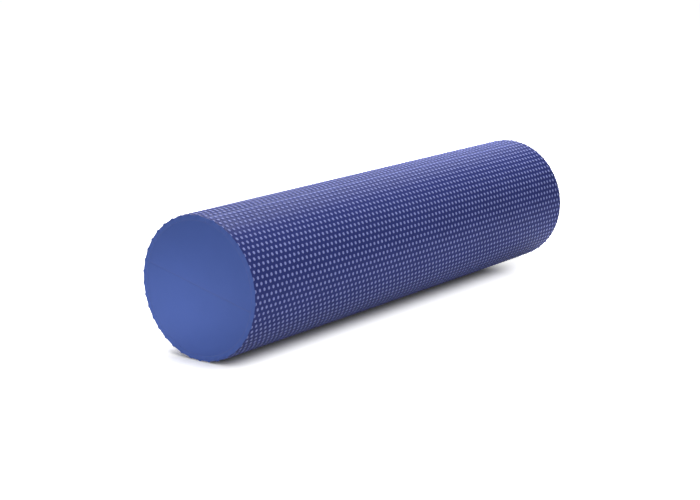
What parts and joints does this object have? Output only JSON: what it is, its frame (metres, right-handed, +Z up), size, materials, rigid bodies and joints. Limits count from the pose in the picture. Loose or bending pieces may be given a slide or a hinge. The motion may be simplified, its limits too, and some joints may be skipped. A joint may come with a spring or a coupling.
{
  "type": "foam roller",
  "caption": "Solid round EVA foam roller for massage and exercise, lying on its side: a glued split core in a wrapped, dot-textured foam sleeve with a straight seam.",
  "frame": {"origin": "the point on the floor under the middle of the roller, as it lies on its side", "axes": "+X along the roller's axis, +Z up; -Y is the side that carries the right-hand end of the core's joint and +Z the side nearest the sleeve's seam"},
  "size_m": [0.6, 0.152, 0.1519],
  "materials": {
    "core_foam": "closed-cell EVA foam, violet-blue, cut smooth on the ends, satin",
    "sleeve_foam": "hot-embossed EVA foam sheet, violet-blue, small round dots, satin skin",
    "contact_cement": "dried contact cement, dark blue, dull"
  },
  "bodies": {
    "root": {"core_upper_half": "core_foam", "core_lower_half": "core_foam", "core_glue_film": "contact_cement", "sleeve_glue_film": "contact_cement", "textured_sleeve": "sleeve_foam", "seam_glue_film": "contact_cement"}
  },
  "joints": []
}
